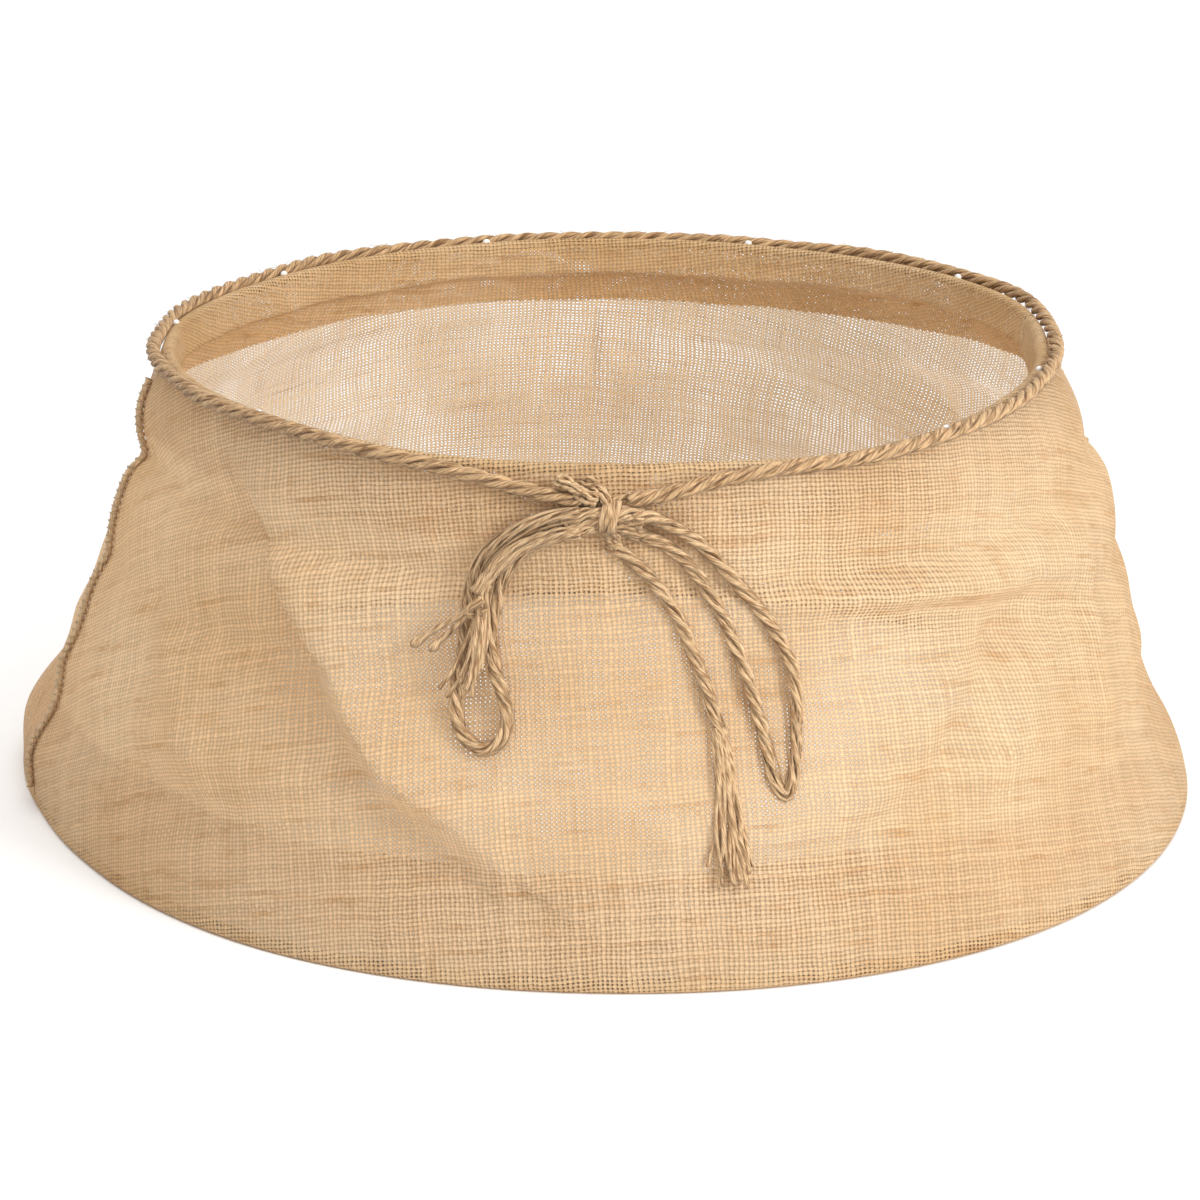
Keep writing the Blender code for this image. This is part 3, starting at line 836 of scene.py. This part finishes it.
for place, body, height, inset, splice in (
    ("top", "rim", PANEL_TOP, FOLD_REACH, 92.8125),
    ("bottom", "base", 0.00405, 0.0056, 182.8125),
):
    azimuth = np.radians(splice) + 0.002 + (2 * math.pi - 0.004) * np.arange(361) / 360
    hoop = tubes(
        f"{place}_hoop_wire", spot(azimuth, np.full(361, height), -inset)[None],
        np.full((1, 361), 0.00175), outward(azimuth)[None], hoop_wire, body, 10,
    )
    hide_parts(f"{place}_hoop")
    azimuth = np.radians(splice) + np.linspace(-0.009, 0.009, 25) / BASE_RADIUS
    crimped = 0.0026 - 0.00035 * np.exp(-((np.linspace(-3, 3, 25) % 2 - 1) / 0.35) ** 2)
    sleeve = tubes(
        f"{place}_splice_sleeve", spot(azimuth, np.full(25, height), -inset)[None], crimped[None],
        outward(azimuth)[None], crimp, body, 16,
    )
    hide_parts(f"{place}_hoop_splice")

for number, azimuth in enumerate(TACK_AZIMUTHS, start=1):
    turn = np.full(9, math.radians(azimuth)) + np.linspace(-0.0022, 0.0022, 9) / 0.246
    line = spot(turn, np.full(9, HEIGHT - 0.0006), -0.0004)
    bead = 0.0019 * np.sqrt(np.clip(1 - np.linspace(-0.97, 0.97, 9) ** 2, 0, 1))
    tack = tubes(
        f"tack_bead_{number:02d}", line[None], bead[None], outward(turn)[None], nylon, "rim",
        10,
    )
    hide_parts(f"rope_tack_{number:02d}")


# ---------------------------------------------------------------- rope round the rim


def rope_height(azimuth):
    """The rope's middle: level at the sides and back, sagging towards the knot."""
    turn = (np.degrees(azimuth) + 180) % 360 - 180
    sag = 0.0145 * np.exp(-((turn / 14.0) ** 2)) + 0.0022 * across(azimuth, 180, 55)
    return 0.2485 - sag + 0.0010 * (1 - np.cos(azimuth))


def rope_standoff(azimuth):
    """The rope lies on the cloth, and hangs away from it between two tacks at each side of the back."""
    away = 0.0042 * across(azimuth, -143, 9) + 0.0035 * across(azimuth, 141, 9)
    closer = 0.0011 * across(azimuth, 180, 40)
    return ROPE_STANDOFF - closer + away + 0.0007 * np.sin(13 * azimuth + 1.0)


first, last = (math.radians(a) for a in ROPE_ENDS)
azimuth = np.linspace(first, last, 1100)
level = rope_height(azimuth)
line = spot(azimuth, level, rope_standoff(azimuth))
run = run_along(line)
strands, radii = laid_strands(line, outward(azimuth), run, ROPE_RADIUS)
rope = tubes(
    "rim_rope_laid", strands, radii * (1 + 0.05 * np.sin(run / 0.011))[None],
    np.broadcast_to(outward(azimuth), strands.shape), jute_laid, "rim", 10,
)
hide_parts("rim_rope")


def hairs(name, line, normals, count, reach, length, seed, body):
    """Stray fibres that leave a rope's surface and bend along it: thin three-sided curved spikes."""
    dice = np.random.RandomState(seed)
    index = dice.randint(2, len(line) - 2, count)
    start = line[index]
    ahead = unit(line[index + 2] - line[index - 2]) * dice.choice([-1, 1], (count, 1))
    normal = unit(normals[index] - (normals[index] * ahead).sum(-1, keepdims=True) * ahead)
    cross = np.cross(ahead, normal)
    angle = dice.uniform(0, 2 * math.pi, (count, 1))
    out = np.cos(angle) * normal + np.sin(angle) * cross
    size = length * dice.uniform(0.4, 1.3, (count, 1))
    t = np.linspace(0, 1, 6)
    curl = dice.uniform(-0.5, 0.5, (count, 1)) * cross
    centres = (
        start[:, None]
        + out[:, None] * (reach * 0.8 + size[:, None] * 0.45 * t[None, :, None] ** 0.8)
        + (ahead[:, None] * t[None, :, None] + curl[:, None] * t[None, :, None] ** 2) * size[:, None] * 0.8
    )
    radii = np.broadcast_to(HAIR_RADIUS * (1 - 0.75 * t)[None], (count, 6))
    return tubes(
        name, centres, radii, np.broadcast_to(out[:, None], centres.shape) + 0.01, jute_hair, body,
        3,
    )


hairs("rim_rope_fuzz", line, outward(azimuth), 1500, ROPE_RADIUS, 0.0060, 3, "rim")


# ---------------------------------------------------------------- the bow


def declare(node):
    """Hides the part of that name."""
    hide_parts(node)


def bow_strands(points, normals, run, radius, opened, shift=0.0):
    """Laid rope whose three strands loosen where opened nears 1, moved sideways by shift."""
    strand = STRAND_SHARE * radius
    angle = strand_angles(run)
    orbit = (radius - strand) * (1 + 0.25 * opened[None])
    out, side = orbit * np.cos(angle), orbit * np.sin(angle) + shift
    radii = strand * (1.06 - 0.12 * opened[None]) * (1 + 0.05 * np.sin(run[None] / 0.004 + angle))
    return lay(points, normals, run, out, side), np.broadcast_to(radii, out.shape)


def bundle(name, parts, body, material, sides=7):
    """One piece from several groups of strands, each a pair of centrelines and radii, with its normals."""
    longest = max(centres.shape[1] for (centres, _), _ in parts)
    even = np.linspace(0, 1, longest)

    def stretch(values):
        share = np.linspace(0, 1, values.shape[1])
        flat = np.moveaxis(values, 1, -1).reshape(-1, values.shape[1])
        full = np.stack([np.interp(even, share, row) for row in flat])
        moved = full.reshape(*np.moveaxis(values, 1, -1).shape[:-1], longest)
        return np.moveaxis(moved, -1, 1)

    centres = np.concatenate([stretch(c) for (c, _), _ in parts])
    radii = np.concatenate([stretch(np.array(r)) for (_, r), _ in parts])
    normals = np.concatenate(
        [stretch(np.broadcast_to(normal, c.shape)) for (c, _), normal in parts]
    )
    return tubes(name, centres, radii, normals, material, body, sides)


def bow_rope(name, route, opened, yarns, seed, shift=lambda t: 0 * t, radius=0.0035):
    """A length of the bow: three strands, and loose yarns that have come out of them."""
    points, normals, run = smooth_route(route, 0.0018)
    part = run / run[-1]
    loose = opened(part)
    strands = bow_strands(points, normals, run, radius * (1 - 0.25 * loose), loose, shift(part)[None])
    groups = [(strands, normals)]
    if yarns:
        size = (0.0036, 0.0024, 0.00062)
        centres, radii = loose_yarns(points, normals, run, yarns, *size, seed, 3.0, 0.7)
        _, cross = path_frame(points, normals)
        centres = centres + (shift(part)[:, None] * cross)[None]
        groups.append(((centres, radii * (0.3 + 0.9 * loose[None])), normals))
    return bundle(name, groups, "base", jute_yarn, 8), points, normals


left_loop, left_line, left_normals = bow_rope(
    "left_loop_rope", LEFT_LOOP,
    lambda t: 0.12 + 0.85 * np.clip((np.abs(t - 0.47) - 0.17) / 0.2, 0, 1), 14, 5,
    lambda t: 0.0019 * np.clip((t - 0.82) / 0.12, 0, 1),
)
right_loop, right_line, right_normals = bow_rope(
    "right_loop_rope", RIGHT_LOOP, lambda t: 0.9 * np.exp(-(((t - 0.53) / 0.07) ** 2)) + 0.06, 8, 6
)
right_tail, tail_line, tail_normals = bow_rope(
    "right_tail_rope", RIGHT_TAIL, lambda t: 0.08 + 0.8 * np.clip((t - 0.78) / 0.22, 0, 1), 8, 7
)
points, normals, run = smooth_route(LEFT_TAIL, 0.0018)
flat_bundle, flat_radii = loose_yarns(points, normals, run, 15, 0.0032, 0.0022, 0.00105, 8, 0.4, 0.35)
_, cross = path_frame(points, normals)
flat_bundle = flat_bundle + 0.0022 * cross[None]
left_tail = tubes(
    "left_tail_rope", flat_bundle, flat_radii, np.broadcast_to(normals, flat_bundle.shape), jute_yarn,
    "base", 7,
)
short_line, short_normals = points + 0.0022 * cross, normals


def tassel(name, routes, thick, waves, tip=0.7, blunt=0):
    """Loose yarns that fan out from a cut end, each along its own route with a slow wander.

    The first few, as many as blunt says, end in a frayed lump.
    """
    dice = np.random.RandomState(len(routes))
    lines, looks, sizes = [], [], []
    for route in routes:
        points, normals, run = smooth_route(route, 0.002)
        share = run / run[-1]
        normals, cross = path_frame(points, normals)
        for direction in (normals, cross):
            bends, phase = dice.uniform(5, 12), dice.uniform(0, 6.28)
            points = points + direction * (waves * share * np.sin(bends * share + phase))[:, None]
        even = np.linspace(0, 1, 34)
        lines.append(np.stack([np.interp(even, share, points[:, k]) for k in range(3)], axis=1))
        looks.append(np.stack([np.interp(even, share, normals[:, k]) for k in range(3)], axis=1))
        lump = 1 + 0.12 * np.sin(dice.uniform(8, 20) * even + dice.uniform(0, 6.28))
        if len(sizes) < blunt:
            lump = 1.25 + 0.75 * np.exp(-(((even - 0.93) / 0.06) ** 2))
            lump = lump - 0.7 * np.clip((even - 0.975) / 0.025, 0, 1)
        sizes.append(thick * dice.uniform(0.7, 1.25) * lump * (1 - (1 - tip) * even**2))
    return tubes(name, np.stack(lines), np.stack(sizes), np.stack(looks), jute_yarn, "base", 7)


dice = np.random.RandomState(12)
fan = []
for k in range(19):
    spread = (k - 9) / 9
    end = 122 - (122 - 52) * dice.uniform(0.84, 1.03)
    depth = math.sin(2.4 * k)
    fan.append([
        (11.55 + 0.55 * spread, 126, 6 + 2.0 * depth),
        (11.75 + 0.75 * spread, 108, 6.3 + 2.2 * depth),
        (11.9 + 1.0 * spread + dice.uniform(-0.3, 0.3), (122 + end) / 2 - 4, 6.5 + 2.2 * depth),
        (12.05 + 1.95 * spread + dice.uniform(-0.45, 0.45), end, 7 + 2.2 * depth),
    ])
right_tassel = tassel("right_tassel_yarns", fan, 0.00130, 0.0014)
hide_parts("right_tassel")

FRAY = [  # the ends that leave the tail's small knot: two blunt ones to the left, then a straighter fringe
    [(-11.2, 195, 15), (-12.6, 185, 16), (-16.2, 172, 11), (-19.3, 161.5, 8)],
    [(-11.4, 194, 14), (-12.8, 183, 15), (-15.3, 170, 10), (-17.2, 159.5, 8)],
    [(-11.9, 188, 16), (-12.9, 172, 13), (-14.1, 157, 10), (-15.9, 143, 8)],
    [(-12.0, 188, 15), (-12.6, 169, 13), (-13.4, 152, 11), (-15.0, 139, 8)],
    [(-11.7, 190, 16), (-11.7, 175, 15), (-12.2, 160, 14), (-13.4, 145, 12)],
    [(-12.0, 190, 17), (-12.1, 174, 15.5), (-12.4, 159, 14), (-12.9, 144, 12)],
    [(-12.3, 190, 15), (-12.5, 174, 14), (-12.9, 160, 12.5), (-13.7, 147, 11)],
    [(-11.4, 190, 14.5), (-11.2, 176, 14), (-11.6, 162, 13), (-12.2, 148, 12)],
    [(-11.5, 191, 16), (-11.0, 180, 15.5), (-11.2, 168, 13), (-11.5, 154, 11)],
    [(-11.8, 190, 17), (-11.6, 173, 16), (-11.9, 158, 14.5), (-12.6, 141, 12)],
    [(-12.2, 190, 16.5), (-12.4, 176, 15), (-12.8, 163, 14), (-13.6, 150, 12)],
    [(-11.3, 192, 17), (-11.3, 178, 16), (-11.5, 164, 15), (-11.9, 151, 13)],
]
left_tassel = tassel("left_tassel_yarns", FRAY, 0.00112, 0.0006, 1.0, 2)
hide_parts("left_tassel")

knot_line, knot_normals, knot_run = smooth_route(
    [(-11.5, 187, 13.5), (-12.0, 187.5, 18.5), (-12.9, 185, 19), (-13.1, 181.5, 17), (-12.3, 180, 14),
     (-11.6, 182, 16.5), (-11.5, 185, 18.5)], 0.0012
)
small_knot = bundle(
    "left_tail_knot_yarns", [(laid_strands(knot_line, knot_normals, knot_run, 0.0021), knot_normals)],
    "base", jute_laid,
)
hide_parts("left_tail_knot")

declare("left_bow_loop")
declare("right_bow_loop")
declare("left_tail")
declare("right_tail")

bow_fuzz = [
    hairs(f"{name}_fuzz", line, normals, count, 0.0036, length, seed, "base")
    for name, line, normals, count, length, seed in (
        ("left_loop", left_line, left_normals, 260, 0.0075, 31),
        ("right_loop", right_line, right_normals, 300, 0.0070, 32),
        ("right_tail", tail_line, tail_normals, 140, 0.0070, 33),
        ("left_tail", short_line, short_normals, 80, 0.0070, 34),
    )
]
collar += [left_loop, right_loop, left_tail, right_tail, right_tassel, left_tassel, small_knot, *bow_fuzz]


# ---------------------------------------------------------------- the knot

angle = np.linspace(-0.97 * math.pi, 0.97 * math.pi, 90)
wrap_route = np.stack(
    [0.95 + 0.35 * np.sin(angle), 227.2 + 6.9 * np.sin(angle), 10.5 + 6.0 * np.cos(angle)], axis=1
)
wrap_points, _, wrap_run = smooth_route(wrap_route, 0.0009)
wrap_middle = smooth_route([(0.95, 227.1, 10.5), (0.95, 227.3, 10.5)], 0.0005)[0][0]
wrap_normals = unit(wrap_points - wrap_middle)
offsets = np.array([-0.0033, -0.0012, 0.0011, 0.0033])[:, None]
wave = 0.0003 * np.sin(wrap_run[None] / 0.004 + 2 * np.arange(4)[:, None])
wrap = bundle(
    "bow_knot_wrap",
    [((lay(wrap_points, wrap_normals, wrap_run, 1.2 * wave, offsets + wave),
       np.full((4, len(wrap_points)), 0.00135)), wrap_normals)], "rim", jute_yarn, 8,
)
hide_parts("bow_knot")

cores = []
for seed, (route, count, wide, deep, thick) in enumerate((
    ([(-4.2, 226.5, 12.5), (-1.6, 227.5, 12.5), (0.8, 227, 11.5), (2.4, 227.5, 11.5), (4.6, 226.5, 11)],
     14, 0.0040, 0.0030, 0.00135),
    ([(-4.0, 236.5, 5.5), (-1.6, 233, 7.5), (0.6, 230, 9), (2.6, 232, 8), (4.8, 235.5, 5.5)],
     11, 0.0034, 0.0030, 0.0013),
    ([(-3.6, 221, 12.5), (-1.6, 223, 12.5), (0.6, 222.5, 9), (2.6, 220, 7.5), (4.4, 217, 6)],
     11, 0.0030, 0.0028, 0.0012),
    ([(0.9, 228, 9.5), (0.9, 223, 9.5), (1.2, 217, 7.5), (1.9, 211, 6)], 10, 0.0032, 0.0028, 0.00125),
)):
    points, normals, run = smooth_route(route, 0.0012)
    cores.append((loose_yarns(points, normals, run, count, wide, deep, thick, 9 + seed, 0.8, 0.4), normals))
bundle("bow_knot_core", cores, "rim", jute_yarn)
turns = []
for seed, (route, count) in enumerate((
    (KNOT_TURN, 8), ([(-1.9, 241.5, 7), (-0.7, 241, 10.5), (0.4, 237, 12.5), (0.9, 231, 12.5)], 5),
)):
    points, normals, run = smooth_route(route, 0.001)
    turns.append((
        loose_yarns(points, normals, run, count, 0.0026, 0.0026, 0.00125, 14 + seed, 0.6, 0.4), normals
    ))
turn_yarns = bundle("knot_turn_yarns", turns, "rim", jute_yarn)
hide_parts("knot_turn")
points, normals, _ = smooth_route([(-5, 226, 10), (0, 223, 11), (6, 222, 9)], 0.0012)
hairs("bow_knot_fuzz", points, normals, 260, 0.0045, 0.0080, 35, "rim")

for piece in collar:
    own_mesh(piece)


# ---------------------------------------------------------------- floor, light and camera


def studio():
    """A pale floor, soft white light all round and above, a key lamp on the right, a weak fill in front."""
    bpy.ops.mesh.primitive_plane_add(size=24, location=(0, 0, -0.0002))
    floor = bpy.context.object
    floor.name = "floor"
    pale = Nodes("pale_floor")
    pale.settle(pale.shader, Base_Color=(0.98, 0.98, 0.98, 1), Roughness=0.9, Specular_IOR_Level=0.0)
    floor.data.materials.append(pale.material)
    world = bpy.data.worlds.new("soft_white")
    world.use_nodes = True
    sky_inputs = world.node_tree.nodes["Background"].inputs
    sky_inputs["Color"].default_value, sky_inputs["Strength"].default_value = (1, 1, 1, 1), 0.46
    bpy.context.scene.world = world
    for name, place, size, power in (
        ("key_lamp", (2.12, -1.9, 1.35), 1.1, 52.0),
        ("fill_lamp", (-0.6, -2.9, 1.4), 1.6, 5.0),
    ):
        lamp = bpy.data.lights.new(name, "AREA")
        lamp.size, lamp.energy = size, power
        obj = bpy.data.objects.new(name, lamp)
        obj.location = place
        aim = np.array([0, 0, 0.12]) - np.array(place)
        flat = math.hypot(aim[0], aim[1])
        obj.rotation_euler = (math.atan2(flat, -aim[2]), 0, math.atan2(-aim[0], aim[1]))
        bpy.context.scene.collection.objects.link(obj)
    sky = bpy.data.lights.new("overhead_light", "SUN")
    sky.energy, sky.angle = 1.75, math.radians(70)
    bpy.context.scene.collection.objects.link(bpy.data.objects.new("overhead_light", sky))
    lens = bpy.data.cameras.new("camera")
    lens.sensor_width, lens.lens = 36.0, 121.6
    lens.clip_start, lens.clip_end = 0.05, 60
    camera = bpy.data.objects.new("camera", lens)
    camera.location = (0, -2.168, 0.797)
    camera.rotation_euler = (math.radians(90 - 17.85), 0, 0)
    bpy.context.scene.collection.objects.link(camera)
    bpy.context.scene.camera = camera
    bpy.context.scene.view_settings.view_transform = "Standard"


studio()
